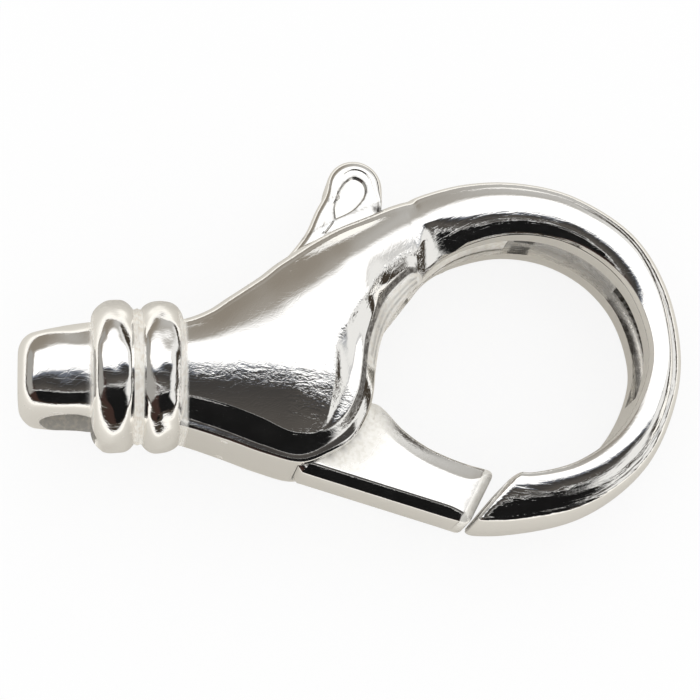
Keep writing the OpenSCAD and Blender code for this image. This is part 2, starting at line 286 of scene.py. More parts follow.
def halfProfile(row):
    # distance from the inner edge and height, from the mid-plane up the wall, over the face and down outside
    wall = row[4]
    curve, crownAt, crown, drop, rim, bulge = row[13:]
    look = caseLook
    width = math.hypot(row[0] - row[2], row[1] - row[3])
    lean = math.atan2(2 * bulge, crown - drop - 0.8 * rim)
    first = math.radians(look["rimStart"])
    side = crown - drop - rim * (math.cos(first) - math.sin(lean))
    creaseAt = width - side * math.tan(lean) / 2 - rim * (math.cos(lean) - math.sin(first))
    facet = min(look["facet"], 0.4 * row[5])
    nodes = [(0.0, 0.0), (0.0, wall - 0.8 * facet), (facet, wall), *zip(row[5:13:2], row[6:13:2])]
    ridgeAt, ridgeTop = nodes[-1]
    face = [(lerp(ridgeAt, crownAt, f), crown - (crown - ridgeTop) * (1 - f) ** curve)
            for f in np.linspace(0, 1, look["faceSteps"] + 1)]
    back = [(lerp(crownAt, creaseAt, f), crown - drop * f * f)
            for f in np.linspace(0, 1, look["backSteps"] + 1)]
    turns = np.linspace(first, math.pi / 2 - lean, look["rimSteps"] + 1)
    edge = [(creaseAt + rim * (math.sin(a) - math.sin(first)),
             crown - drop - rim * (math.cos(first) - math.cos(a))) for a in turns]
    down = [(width - side * math.tan(lean) / 2 * k * k, side * k)
            for k in np.linspace(1, 0, look["sideSteps"] + 1)]
    nodes.append(face[2])
    points = [nodes[0]]
    for k, (radius, steps) in enumerate(zip(look["corners"], look["straightSteps"])):
        bend = softCorner(nodes[k], nodes[k + 1], nodes[k + 2], radius)
        points += between(points[-1], bend[0], steps) + bend
    crease = softCorner(back[-3], edge[0], edge[2], look["crease"])
    return points + face[2:] + back[1:-2] + crease + edge[2:] + down[1:]


def sectionPoints(row, inset=0.0):
    half = np.array(halfProfile(row))
    width, high = half[-1][0], half[:, 1].max()
    half = np.column_stack([inset + half[:, 0] * (width - 2 * inset) / width,
                            half[:, 1] * (high - inset) / high])
    whole = [tuple(p) for p in half] + [(s, -h) for s, h in half[-2:0:-1]]
    inner = np.array(row[2:4])
    along = (np.array(row[0:2]) - inner) / norm(np.array(row[0:2]) - inner)
    return [(*(inner + along * s), h) for s, h in whole]


def alongRows(rows, steps):
    # sections that run smoothly through the rows, however far apart these stand
    middles = (rows[:, 0:2] + rows[:, 2:4]) / 2
    gaps = np.sqrt(norm(np.diff(middles, axis=0), axis=1))[:, None]
    slopes = np.diff(rows, axis=0) / gaps
    inside = (slopes[:-1] * gaps[1:] + slopes[1:] * gaps[:-1]) / (gaps[:-1] + gaps[1:])
    slopes = np.vstack([slopes[:1], inside, slopes[-1:]])
    out = []
    for k, gap in enumerate(gaps[:, 0]):
        for t in np.arange(steps) / steps:
            out.append((1 + 2 * t) * (1 - t) ** 2 * rows[k] + t * t * (3 - 2 * t) * rows[k + 1]
                       + gap * (t * (1 - t) ** 2 * slopes[k] - t * t * (1 - t) * slopes[k + 1]))
    return np.array(out + [rows[-1]])


def makeBody():
    rows = alongRows(np.array([hookRow(r) for r in hookRows] + bodyRows()), caseLook["sectionSteps"])
    # closer sections at the tip, drawn in so that its end is rounded
    near = [lerp(rows[0], rows[4], t) for t in (1 - np.cos(np.linspace(0, math.pi / 2, 14)))[:-1]]
    rows = near + list(rows[4:])
    sections = []
    for number, row in enumerate(rows):
        middle = (np.array(row[0:2]) + np.array(row[2:4])) / 2
        depth = max(float((tipOuter - middle) @ tipAway), 0)
        r = caseLook["tipRound"]
        atTip = depth < r and number < caseLook["tipSections"]
        inset = r - math.sqrt(r * r - (r - depth) ** 2) if atTip else 0.0
        sections.append(sectionPoints(row, 0.92 * inset))
    return ringSolid("clasp_case", [p for s in sections for p in s], len(sections))


collarLook = {"turns": 220, "steps": 26, "grooveRadius": 3.0, "skirtTop": 3.05, "skirtEnd": 2.2,
              "skirt": 0.44, "skirtFrom": -0.22, "skirtCurve": 2.2, "hammer": 0.15, "hammerScale": 0.80,
              "hammerStretch": 1.25}


def makeCollar():
    look = collarLook
    centre = collarRadius - ringWidth / 2
    start = -bodyLength - 2 * ringWidth
    profile = [(start + 0.02, 1.2, 0.0)]
    for k in range(2):
        for a in np.radians(np.linspace(180, 0, 2 * look["steps"] + 1)):
            x = start + (k + 0.5 + math.cos(a) / 2) * ringWidth
            r = centre + math.sin(a) * ringWidth / 2
            if abs(x - (start + ringWidth)) < ringWidth / 2:
                r = max(r, look["grooveRadius"] - 0.25 * abs(x - start - ringWidth))
            skirtAt = (x + bodyLength - look["skirtFrom"]) / look["skirt"]
            if k == 1 and skirtAt >= 0:
                share = max(1 - skirtAt, 0) ** look["skirtCurve"]
                r = max(r, lerp(look["skirtEnd"], look["skirtTop"], share))
            profile.append((x, r, math.sin(a)))
    for t in np.linspace(0.36, 1, 12):
        r = lerp(look["skirtEnd"], look["skirtTop"], (1 - t) ** look["skirtCurve"])
        profile.append((-bodyLength + look["skirtFrom"] + t * look["skirt"], r, 0.0))
    profile.append((-bodyLength - 0.2 + look["skirt"], 1.2, 0.0))
    points = []
    for x, r, share in profile:
        for k in range(look["turns"]):
            a = 2 * math.pi * k / look["turns"]
            y, z = math.cos(a), math.sin(a)
            spot = Vector((look["hammerStretch"] * x, r * y, r * z)) * look["hammerScale"]
            dent = look["hammer"] * share * (noise.noise(spot) + 0.17 * noise.noise(spot * 2.1) - 0.4)
            points.append((x, (r + dent) * y, (r + dent) * z))
    return ringSolid("collar", points, len(profile))


bailLook = {"length": 3.1, "width": 4.4, "endWidth": 3.6, "endDrop": 0.15, "depth": 5.1, "corner": 1.3,
            "edge": 0.7, "holeRadius": 1.4, "holeDrop": 0.2, "endWall": 0.9, "steps": 120, "stations": 30,
            "square": 5.0, "dome": 0.25, "wobble": 0.10, "wobbleScale": 0.75}
bailEnd = -bodyLength - 2 * ringWidth - bailLook["length"]
bailHole = bailEnd + bailLook["endWall"] + bailLook["holeRadius"]


def makeBail():
    look = bailLook
    inside = -bodyLength - 1.5 * ringWidth
    stations = [look["corner"] * (1 - math.cos(math.radians(a)))
                for a in np.linspace(0, 90, look["stations"])]
    stations += list(np.linspace(look["corner"], inside - bailEnd, 16)[1:])
    points = []
    for t in stations:
        share = min(t / look["length"], 1)
        half = lerp(look["endWidth"], look["width"], share) / 2
        middle = -look["endDrop"] * (1 - share)
        deep = look["depth"] / 2
        if t < look["corner"]:
            deep += math.sqrt(look["corner"] ** 2 - (look["corner"] - t) ** 2) - look["corner"]
        if t < look["edge"]:
            half += math.sqrt(look["edge"] ** 2 - (look["edge"] - t) ** 2) - look["edge"]
        for k in range(look["steps"]):
            a = 2 * math.pi * (k + 0.5) / look["steps"]
            c, s = math.cos(a), math.sin(a)
            y = math.copysign(abs(c) ** (2 / look["square"]), c)
            z = math.copysign(abs(s) ** (2 / look["square"]), s)
            spot = Vector((bailEnd + t, half * y, deep * z)) * look["wobbleScale"]
            size = 1 + look["wobble"] / half * (noise.noise(spot) - 0.4)
            dome = 1 - look["dome"] * y * y
            points.append((bailEnd + t, middle + half * y * size, deep * z * size * dome))
    return ringSolid("bail", points, len(stations))


def barAlongY(name, x, z, radius, half, steps=96):
    turns = [2 * math.pi * k / steps for k in range(steps)]
    points = [(x + radius * math.cos(a), y, z + radius * math.sin(a)) for y in (-half, half) for a in turns]
    return ringSolid(name, points, 2)


leverSizes = {"sideGap": 0.06, "swingGap": 0.12, "tipGap": 0.16, "tipWedge": 0.6, "swing": 20, "hub": 1.35,
              "tabRise": 1.3, "tabRadius": 1.28}
tipInner = eye + polar(eyeRadius * hookRows[0][1], hookRows[0][0])
tipOuter = eye + polar(eyeRadius * hookRows[0][1] + hookWidth * hookRows[0][3], hookRows[0][2])
tipAlong = (tipInner - tipOuter) / norm(tipInner - tipOuter)
tipAway = np.array([-tipAlong[1], tipAlong[0]])
gateLow = tipOuter + 0.15 * hookWidth * tipAlong + leverSizes["tipGap"] * tipAway
gateHigh = tipInner - 0.2 * hookWidth * tipAlong + (leverSizes["tipGap"] + leverSizes["tipWedge"]) * tipAway
heel = np.array([pivot[0] + 0.02 * bodyDrop, -1.06 * bodyDrop])
shoulder = lipInner(lipEnd) + np.array([0.05, -0.1])
tabCentre = topEdge(0.245, 0.165) + np.array([0, leverSizes["tabRise"]])
tabLeft = topEdge(0.66, 0.73)
tabRight = topEdge(0.13, 0.05)


def turned(point, degrees):
    a = math.radians(degrees)
    x, y = point - pivot
    return pivot + np.array([x * math.cos(a) - y * math.sin(a), x * math.sin(a) + y * math.cos(a)])


def slotOutline():
    gap = leverSizes["swingGap"]
    over = 3
    left = turned(tabLeft, leverSizes["swing"]) - np.array([gap, 0])
    points = [tabRight + np.array([gap + 0.15, over]), tabRight + np.array([gap + 0.15, -1])]
    points += [eye + eyeRadius * np.array(p) for p in ((-0.90, 0.76), (-0.86, 0.56), (-0.70, 0.30))]
    points += [np.array([shoulder[0] + 1, shoulder[1]]), np.array([shoulder[0] + 1, heel[1] - over]),
               np.array([heel[0] - gap, heel[1] - over]), np.array([heel[0] - gap, heel[1]])]
    points += arc(pivot, leverSizes["hub"] + gap, 230, 180, 8)
    return points + [left, left + np.array([0, over])]


channelLook = {"width": 1.7, "depth": 0.45, "bend": 130, "run": 0.68 * eyeRadius, "end": -22,
               "pocket": 0.6, "pocketFrom": 78, "pocketTo": 87, "pocketWidth": 1.3, "groove": 0.5,
               "grooveWidth": 0.9, "grooveFrom": -20, "grooveTo": 36}


def ringSector(name, inner, outer, start, stop, width):
    steps = max(2, int(abs(stop - start) / 1.0))
    outline = arc(eye, outer, start, stop, steps) + arc(eye, inner, stop, start, steps)
    return extruded(name, outline, -width / 2, width / 2)


def makeCase():
    look = channelLook
    floorRadius = eyeRadius + look["depth"]
    inner = eyeRadius - 1
    radial = polar(1, look["bend"])
    tangent = np.array([-radial[1], radial[0]])
    corners = [eye + radial * r + tangent * t for r, t in
               ((inner, -0.1), (floorRadius, -0.1), (floorRadius, look["run"]), (inner, look["run"]))]
    piece = combined(combined(makeBody(), makeCollar(), "UNION"), makeBail(), "UNION")
    cuts = [extruded("slot", slotOutline(), -slotWidth / 2, slotWidth / 2),
            ringSector("channel", inner, floorRadius, look["end"], look["bend"], look["width"]),
            extruded("run", corners, -look["width"] / 2, look["width"] / 2),
            ringSector("pocket", inner, floorRadius + look["pocket"], look["pocketFrom"], look["pocketTo"],
                       look["pocketWidth"]),
            ringSector("groove", inner, floorRadius + look["groove"], look["grooveFrom"], look["grooveTo"],
                       look["grooveWidth"]),
            barAlongY("hole", bailHole, -bailLook["holeDrop"], bailLook["holeRadius"], 6)]
    for cut in cuts:
        piece = combined(piece, cut, "DIFFERENCE")
    return piece


# The lever: gate, hub and thumb tab are one piece
gateTopRows = [(0.00, 0.00), (0.07, 0.03), (0.14, 0.14), (0.26, 0.38), (0.44, 0.62), (0.62, 0.78),
               (0.80, 0.90), (0.94, 0.97)]
leverBackRows = [(-0.40, 0.10), (-0.55, 0.28), (-0.30, 0.48), (0.25, 0.70), (0.85, 0.90)]
tabFlankRows = [(0.00, 0.00), (0.31, 0.20), (0.55, 0.40), (0.70, 0.56), (0.82, 0.76), (0.94, 0.90)]
leverLook = {"spacing": 0.06, "edgeSteps": 8, "tabGrid": 0.09, "plainGrid": 0.3, "lip": 0.05,
             "gateCorner": 0.5, "tipCorner": 0.3, "smoothing": 11, "calm": 40, "gateReach": 0.09,
             "heelReach": 0.11, "dropDepth": 0.11, "dropInner": 0.88, "lineWidth": 0.055, "lineDepth": 0.04,
             "calmAbove": 4.6, "tabAbove": 6.4, "mostRoom": 1.0, "rimStart": 0.012,
             "tabRim": ((0.03, 0.0), (0.07, 0.045), (0.11, 0.0))}
# the sunk drop's outline from its point round to it again, from the tab's centre
dropRows = [(-1.04, -1.76), (-1.06, -1.25), (-0.98, -0.80), (-0.82, -0.35), (-0.50, 0.12), (-0.06, 0.38),
            (0.33, 0.22), (0.50, -0.08), (0.49, -0.42), (0.30, -0.82), (-0.22, -1.34), (-1.04, -1.76)]
# reach in from the outline, drop at the outline, 0 rounded to 1 chamfered
edgeKinds = {"lower": (0.52, 0.31, 1.0), "end": (0.36, 0.30, 0.5), "upper": (0.84, 0.40, 0.90),
             "hidden": (0.08, 0.06, 0.0), "tab": (0.46, 0.42, 0.0), "flank": (0.50, 0.44, 0.0)}


def leverOutline():
    # the outline's points, and for each the three numbers of its edge
    def share(a, b, rows):
        return [np.array([lerp(a[0], b[0], r[0]), lerp(a[1], b[1], r[1])]) for r in rows]
    top = throughPoints(share(shoulder, gateHigh, gateTopRows) + [gateHigh], 8)
    back = throughPoints([shoulder] + share(shoulder, tabRight, leverBackRows) + [tabRight], 6)
    flankTop = tabCentre - np.array([1, 0.1]) * leverSizes["tabRadius"]
    flank = throughPoints(share(tabLeft, flankTop, tabFlankRows) + [flankTop], 8)
    look = leverLook
    start = heel - np.array([look["heelReach"], 0])
    low, high = gateLow - look["gateReach"] * tipAway, gateHigh - look["gateReach"] * tipAway
    lowCorner = softCorner(start, low, high, look["tipCorner"], 6)
    pieces = [("lower", [start] + between(start, lowCorner[0], 16)), ("end", lowCorner),
              ("end", softCorner(low, high, top[-14], look["gateCorner"], 6)),
              ("upper", list(top[-14:0:-1])), ("hidden", list(back)),
              ("tab", arc(tabCentre, leverSizes["tabRadius"], -15, 180, 40)), ("flank", list(flank[-2::-1])),
              ("hidden", arc(pivot, leverSizes["hub"], 180, 230, 8))]
    points = np.array([p for kind, piece in pieces for p in piece])
    values = np.array([edgeKinds[kind] for kind, piece in pieces for p in piece])
    return points, values


def resampled(points, values, spacing):
    closed = np.vstack([points, points[:1]])
    length = np.concatenate([[0], np.cumsum(norm(np.diff(closed, axis=0), axis=1))])
    at = np.linspace(0, length[-1], int(length[-1] / spacing), endpoint=False)
    outline = np.stack([np.interp(at, length, closed[:, k]) for k in (0, 1)], 1)
    edges = np.vstack([values, values[:1]])
    edges = np.stack([np.interp(at, length, edges[:, k]) for k in (0, 1, 2)], 1)
    # even out the flank and the tab
    for turn in range(leverLook["calm"]):
        calm = (np.roll(outline, 1, 0) + 2 * outline + np.roll(outline, -1, 0)) / 4
        outline = np.where(outline[:, 1:] > leverLook["calmAbove"], calm, outline)
    size = leverLook["smoothing"]
    for k in range(3):
        for turn in range(2):
            wide = np.concatenate([edges[-size:, k], edges[:, k], edges[:size, k]])
            edges[:, k] = np.convolve(wide, np.ones(size) / size, "same")[size:-size]
    return outline, edges


def inwardNormals(outline):
    d = np.roll(outline, -1, 0) - np.roll(outline, 1, 0)
    n = np.stack([-d[:, 1], d[:, 0]], 1) / norm(d, axis=1)[:, None]
    x, y = outline.T
    area = 0.5 * np.sum(x * np.roll(y, -1) - np.roll(x, -1) * y)
    return n if area > 0 else -n


def roomInward(outline, inward, most):
    # how far each point can move in before another part of the outline is nearer
    room = np.full(len(outline), most)
    for t in np.linspace(most, 0.08, 30):
        moved = outline + inward * t
        gap = np.min(norm(moved[:, None] - outline[None], axis=2), axis=1)
        room = np.where(gap < t - 0.015, t, room)
    return room


dropOutline = tabCentre + throughPoints(dropRows, 8)[:-1]
dropTip = dropOutline[0]
# fine lines on the tab: from the drop's point down to the case, and the ledge on the left
tabLines = [[dropTip, tabCentre + np.array([-1.26, -2.06]), tabCentre + np.array([-1.48, -2.34])],
            [tabCentre + np.array([-1.34, -0.86]), tabCentre + np.array([-1.14, -0.68]),
             tabCentre + np.array([-0.98, -0.60])]]


def dropLoop(share):
    # the drop's outline, drawn in towards its middle
    middle = dropOutline.mean(0)
    return list(middle + (dropOutline - middle) * share)


def dropDistance(points):
    # signed distance to the drop's outline: below zero inside
    far = lineDistance(points, np.vstack([dropOutline, dropOutline[:1]]))
    return np.where(insideOf(points, dropOutline), -far, far)


def lineDistance(points, line):
    # distance from each point to a line through several points
    best = np.full(len(points), 1e9)
    for a, b in zip(line[:-1], line[1:]):
        a, b = np.asarray(a), np.asarray(b)
        t = np.clip(((points - a) @ (b - a)) / ((b - a) @ (b - a)), 0, 1)
        best = np.minimum(best, norm(points - (a + t[:, None] * (b - a)), axis=1))
    return best


def insideOf(points, loop):
    inside = np.zeros(len(points), bool)
    for a, b in zip(loop, np.roll(loop, -1, 0)):
        crosses = (a[1] > points[:, 1]) != (b[1] > points[:, 1])
        rise = b[1] - a[1] if b[1] != a[1] else 1e-12
        inside ^= crosses & (points[:, 0] < a[0] + (points[:, 1] - a[1]) * (b[0] - a[0]) / rise)
    return inside


def gridInside(boundary):
    # points inside the flat face: fine on the tab, coarse elsewhere
    low, high = boundary.min(0), boundary.max(0)
    points = []
    tabLow = leverLook["tabAbove"]
    for grid, band in ((leverLook["plainGrid"], (low[1], tabLow)), (leverLook["tabGrid"], (tabLow, high[1]))):
        gx, gy = np.meshgrid(np.arange(low[0], high[0], grid), np.arange(band[0], band[1], grid))
        points.append(np.stack([gx.ravel(), gy.ravel()], 1))
    points = np.vstack(points)
    points = points[insideOf(points, boundary)]
    gap = np.min(norm(points[:, None, :] - boundary[None, ::2, :], axis=2), axis=1)
    return points[gap > 0.07]


def faceDetail(edge):
    # extra points on the front face with how far each is sunk, and the edges that join them
    look = leverLook
    grid = gridInside(edge)
    near = np.abs(dropDistance(grid) + 0.04) < 0.09
    for line in tabLines:
        near |= lineDistance(grid, line) < 0.08
    grid = grid[~near]
    sunk = np.where(dropDistance(grid) < 0, look["dropDepth"], 0.0)
    points, sinks, joins = list(grid), list(sunk), []
    for share, sink in ((1.0, 0.0), (look["dropInner"], look["dropDepth"])):
        loop = dropLoop(share)
        first = len(points)
        points += loop
        sinks += [sink] * len(loop)
        joins += [(first + k, first + (k + 1) % len(loop)) for k in range(len(loop))]
    for line in tabLines:
        path = throughPoints(line, 8)
        d = np.gradient(path, axis=0)
        normal = np.stack([-d[:, 1], d[:, 0]], 1) / norm(d, axis=1)[:, None]
        for side, sink in ((-1, 0.0), (0, look["lineDepth"]), (1, 0.0)):
            first = len(points)
            moved = (path + normal * side * look["lineWidth"])[2:]
            points += list(moved)
            sinks += [sink] * len(moved)
            joins += [(first + k, first + k + 1) for k in range(len(moved) - 1)]
    ok = insideOf(np.array(points), edge)
    number = np.cumsum(ok) - 1
    joins = [(int(number[a]), int(number[b])) for a, b in joins if ok[a] and ok[b]]
    return [p for p, k in zip(points, ok) if k], [v for v, k in zip(sinks, ok) if k], joins


def makeLever():
    look = leverLook
    outline, edges = resampled(*leverOutline(), look["spacing"])
    inward = inwardNormals(outline)
    reach, drop, chamfer = edges.T
    room = roomInward(outline, inward, look["mostRoom"])
    top = slotWidth / 2 - leverSizes["sideGap"]
    tabShare = smoothStep(look["tabAbove"], look["tabAbove"] + 1, outline[:, 1])
    n = len(outline)

    def ring(inset, sink):
        inset = np.minimum(inset, room)
        x = np.clip(inset / reach, 0, 1)
        down = lerp(drop * (1 - np.sqrt(1 - (1 - x) ** 2)), drop * (1 - x) ** 1.2, chamfer) + sink
        return np.column_stack([outline + inward * inset[:, None], top - down])
    shapes = [np.column_stack([outline, top - drop - look["lip"]])]
    for u in np.linspace(0, 1, look["edgeSteps"] + 1):
        inset = reach * lerp(1 - math.cos(math.pi / 2 * u), u, chamfer)
        least = look["rimStart"] if u == 0 else 0.0
        shapes.append(ring(np.maximum(inset, least), least))
    for more, sink in look["tabRim"]:
        shapes.append(ring(reach + more, sink * tabShare))
    back = [s * (1, 1, -1) for s in shapes[::-1]]
    rings = back + shapes
    points = [p for r in rings for p in r]
    faces = ringFaces(len(rings), n, False, False)
    for side, number in ((1, len(rings) - 1), (-1, 0)):
        edge = rings[number][:, :2]
        inner, sinks, joins = faceDetail(edge) if side > 0 else (list(gridInside(edge)), None, [])
        coords = [Vector(p) for p in edge] + [Vector(p) for p in inner]
        lines = [(k, (k + 1) % n) for k in range(n)] + [(a + n, b + n) for a, b in joins]
        result = delaunay_2d_cdt(coords, lines, [], 1, 1e-5)
        place = {}
        for k, (v, origin) in enumerate(zip(result[0], result[3])):
            first = min(origin) if origin else None
            if first is not None and first < n:
                place[k] = number * n + first
                continue
            sink = sinks[first - n] if first is not None and sinks else 0.0
            points.append((v.x, v.y, side * (top - sink)))
            place[k] = len(points) - 1
        for f in result[2]:
            ids = [place[k] for k in f]
            if len(set(ids)) > 2:
                faces.append(tuple(ids))
    return facedOutward(makeMesh("clasp_lever", points, faces), 2e-6)


# Surface masks: each is one number a vertex, worked out on the clasp's own axes
def ownAxes(piece):
    flat = np.empty(len(piece.data.vertices) * 3)
    piece.data.vertices.foreach_get("co", flat)
    return (flat.reshape(-1, 3) - shiftRow) @ turnRow * 1000


def setMask(piece, name, values):
    mask = piece.data.attributes.new(name, "FLOAT", "POINT")
    mask.data.foreach_set("value", np.clip(values, 0, 1).astype(np.float32))


# worn lines: from x, y to x, y, width, strength
wornRows = [(-14.6, -0.5, -12.4, -0.8, 0.50, 0.45), (-12.4, -0.8, -10.2, -1.1, 0.60, 0.60),
            (-10.2, -1.1, -8.6, -1.6, 0.85, 0.90), (-10.4, -2.2, -8.6, -2.4, 0.80, 0.35)]
# lines on the hook where the brush left streaks
streakRows = [(-3.4, 6.0, -0.6, 6.6, 0.9, 0.6), (-0.6, 6.6, 2.6, 6.2, 0.8, 0.5),
              (-2.0, -5.8, 1.6, -6.6, 0.9, 0.8), (1.6, -6.6, 4.6, -4.8, 0.9, 1.0),
              (4.6, -4.8, 6.6, -1.4, 0.7, 1.0)]


def rowsMask(points, rows):
    worn = np.zeros(len(points))
    for x0, y0, x1, y1, width, strength in rows:
        near = lineDistance(points, [(x0, y0), (x1, y1)])
        worn = np.maximum(worn, strength * smoothStep(width, width * 0.35, near))
    return worn


def lipLine(first, last, place):
    # a line along the lip and round the belly's corner, place(row) millimetres in from the inner edge
    line = []
    for row in bodyRows()[first:last]:
        outer, inner = np.array(row[0:2]), np.array(row[2:4])
        line.append(inner + (outer - inner) / norm(outer - inner) * place(row))
    return throughPoints(line, 4)


def strongest(*marks):
    # each mark: strength, distance where it starts, distance where it is full, distance, where it may be
    return np.maximum.reduce([strength * smoothStep(start, full, far) * where
                              for strength, start, full, far, where in marks])


crevice = (-6.35, 7.5)       # where the tab meets the body's top edge
creviceShade = (0.9, 0.34, 0.12)  # its painted shade: strength, start, full


def caseMasks(piece):
    p = ownAxes(piece)
    x, y, z = p.T
    flat = p[:, :2]
    fromEye = np.hypot(x - eye[0], y - eye[1])
    angle = np.degrees(np.arctan2(y - eye[1], x - eye[0]))
    front = z > 0
    hole = np.hypot(x - bailHole, z + bailLook["holeDrop"]) < bailLook["holeRadius"] + 0.03
    hole = hole * (np.abs(y) < 2.6)
    channel = (fromEye > eyeRadius + 0.12) * (fromEye < 7.0) * (np.abs(z) < channelLook["width"] / 2 + 0.01)
    channel = channel * (angle > -25) * (angle < 135)
    floor = eyeRadius + channelLook["depth"]
    inGroove = (np.abs(z) < channelLook["grooveWidth"] / 2 + 0.02) * (angle < channelLook["grooveTo"] + 3)
    deep = (fromEye > floor + 0.1) & (angle > 60) | (fromEye > floor + 0.05) & (angle < 60) | inGroove
    slotWall = (np.abs(np.abs(z) - slotWidth / 2) < 0.004) * (x < -4)
    swept = smoothStep(-4.6, -2.6, x)

    def lip(last, place):
        return lineDistance(flat, lipLine(2, last, place))
    frost = strongest(
        (1.0, 0.27, 0.14, np.abs(x + bodyLength + ringWidth), smoothStep(3.35, 3.15, np.hypot(y, z))),
        (0.8, 0.24, 0.08, np.abs(x + bodyLength + 0.10), 1),
        (0.7, 0.16, 0.05, np.abs(x + bodyLength + 2 * ringWidth), 1),
        (0.75, 0.50, 0.25, lip(7, lambda r: r[5] * 0.42), front))
    frost = np.maximum.reduce([frost, 0.8 * hole, 0.4 * channel, 0.6 * slotWall])
    tip = smoothStep(1.7, 1.2, z) * (x > -4) * (x < 0) * (y < 0)
    # painted shade: darker tops of the collar and bail, the crevice by the tab, the gap at the hook's tip,
    # and dark lines along the lip
    paintedShade = strongest(
        (0.34, 1.9, 3.2, y, x < -bodyLength + 0.3),
        (*creviceShade, np.hypot(x - crevice[0], y - crevice[1]), smoothStep(2.0, 1.2, z)),
        (0.7, 0.10, 0.03, np.abs((flat - tipOuter) @ tipAway), tip),
        (0.95, 0.14, 0.08, lip(10, lambda r: (r[5] + r[7]) / 2), front),
        *[(0.5, 0.06, 0.02, lip(7, lambda r: r[5] * share), front) for share in (0.28, 0.62)])
    # painted shade inside the bail's hole, darker towards the collar, and on the deep floor of the hook's
    # channel, pocket and groove
    holeShade = hole * (0.44 + 0.5 * smoothStep(bailHole + 0.6, bailHole + 1.4, x))
    paintedShade = np.maximum.reduce([paintedShade, channel * deep, holeShade])
    worn = np.maximum(rowsMask(flat, wornRows), strongest((0.9, 0.20, 0.04, lip(10, lambda r: r[11]), front)))
    setMask(piece, "frost", frost)
    setMask(piece, "paintedShade", paintedShade)
    setMask(piece, "worn", worn * (1 - frost) * (1 - swept))
    setMask(piece, "streak", (0.22 + rowsMask(flat, streakRows)) * swept * (1 - frost))
    flow = piece.data.attributes.new("flow", "FLOAT_VECTOR", "POINT")
    along = np.column_stack([np.radians(angle) * (eyeRadius + 0.95), fromEye, z])
    flow.data.foreach_set("vector", along.ravel().astype(np.float32))


def leverMasks(piece):
    p = ownAxes(piece)
    flat, y = p[:, :2], p[:, 1]
    front = smoothStep(0.2, 0.6, p[:, 2])
    drop = dropDistance(flat)
    plate = lineDistance(flat, [lipInner(r) for r in lipRows[-3:]] + [bellyInner(r) for r in bellyRows[:5]])
    root = lineDistance(flat, [topEdge(r[0], r[1]) for r in lipRows + bellyRows[:3]])
    endGap = lineDistance(flat, [gateLow, gateHigh])
    frost = strongest(
        (0.85, 2.3, 0.3, plate, (y < 1) * smoothStep(0.45, 0.65, lineDistance(flat, [heel, gateLow]))),
        (0.25, 0.0, -0.08, drop, front),
        (0.7, 0.40, 0.36, endGap, front))
    # painted shade: dark lines in the drop's outline and the tab's fine lines, at the tab's root by the slot,
    # in the crevice, along the case's inner edge, in the gap at the gate's end and a thin line near that end
    paintedShade = strongest(
        (0.85, 0.055, 0.02, np.abs(drop + 0.035), front),
        *[(0.6, 0.05, 0.015, lineDistance(flat, line), front * (y > 5)) for line in tabLines],
        (0.5, 0.07, 0.02, root, y > 3),
        (*creviceShade, np.hypot(flat[:, 0] - crevice[0], y - crevice[1]), 1),
        (0.35, 0.09, 0.03, plate, y < 1),
        (0.8, 0.16, 0.08, endGap, smoothStep(0.95, 0.6, np.abs(p[:, 2]))),
        (0.35, 0.05, 0.01, np.abs(endGap - 0.40), front))
    setMask(piece, "frost", frost)
    setMask(piece, "paintedShade", paintedShade)
    setMask(piece, "worn", strongest((0.25, 3.0, 1.0, lineDistance(flat, [(-4.9, -2.6), (-3.4, -4.4)]), 1)))


# Shader helpers
def feed(tree, socket, value):
    if isinstance(value, bpy.types.NodeSocket):
        tree.links.new(value, socket)
    elif isinstance(value, tuple) and len(value) == 3 and socket.type == "RGBA":
        socket.default_value = (*value, 1)
    else:
        socket.default_value = value


def addNode(tree, kind, given=(), **values):
    # given: what goes into each input, by its name or number
    made = tree.nodes.new(kind)
    for key, value in values.items():
        setattr(made, key, value)
    for place, value in dict(given).items():
        feed(tree, made.inputs[place], value)
    return made


def sums(tree, operation, *values):
    return addNode(tree, "ShaderNodeMath", enumerate(values), operation=operation).outputs[0]


def times(tree, *values):
    result = values[0]
    for value in values[1:]:
        result = sums(tree, "MULTIPLY", result, value)
    return result


def ramp(tree, value, low, high, toLow=0.0, toHigh=1.0):
    given = {"Value": value, "From Min": low, "From Max": high, "To Min": toLow, "To Max": toHigh}
    return addNode(tree, "ShaderNodeMapRange", given, interpolation_type="SMOOTHSTEP").outputs["Result"]


def away(tree, value, middle):
    return sums(tree, "ABSOLUTE", sums(tree, "SUBTRACT", value, middle))


def blended(tree, share, a, b):
    return addNode(tree, "ShaderNodeMix", {0: share, 6: a, 7: b}, data_type="RGBA").outputs[2]


def waves(tree, vector, scale, detail, distortion):
    stretch = addNode(tree, "ShaderNodeVectorMath", {0: vector, 1: scale}, operation="MULTIPLY")
    given = {"Vector": stretch.outputs[0], "Scale": 1, "Detail": detail, "Distortion": distortion}
    return addNode(tree, "ShaderNodeTexNoise", given).outputs["Fac"]


def grain(tree, scale, detail, distortion=0.0, turn=0.0):
    # noise in the piece's own space, with scale in waves a millimetre along x, y and z
    place = addNode(tree, "ShaderNodeTexCoord").outputs["Object"]
    rotate = addNode(tree, "ShaderNodeVectorRotate", {"Vector": place, "Angle": math.radians(turn)},
                     rotation_type="Z_AXIS")
    return waves(tree, rotate.outputs[0], [1000 * value for value in scale], detail, distortion)


def newGroup(name, inputs, *outputs):
    group = bpy.data.node_groups.new(name, "ShaderNodeTree")
    for label, value in inputs.items():
        kind = {tuple: "NodeSocketColor", list: "NodeSocketVector"}.get(type(value), "NodeSocketFloat")
        socket = group.interface.new_socket(label, in_out="INPUT", socket_type=kind)
        socket.default_value = (*value, 1) if isinstance(value, tuple) else value
    for label in outputs:
        kind = "NodeSocketColor" if label == "Colour" else "NodeSocketFloat"
        group.interface.new_socket(label, in_out="OUTPUT", socket_type=kind)
    return group, addNode(group, "NodeGroupInput").outputs, addNode(group, "NodeGroupOutput").inputs


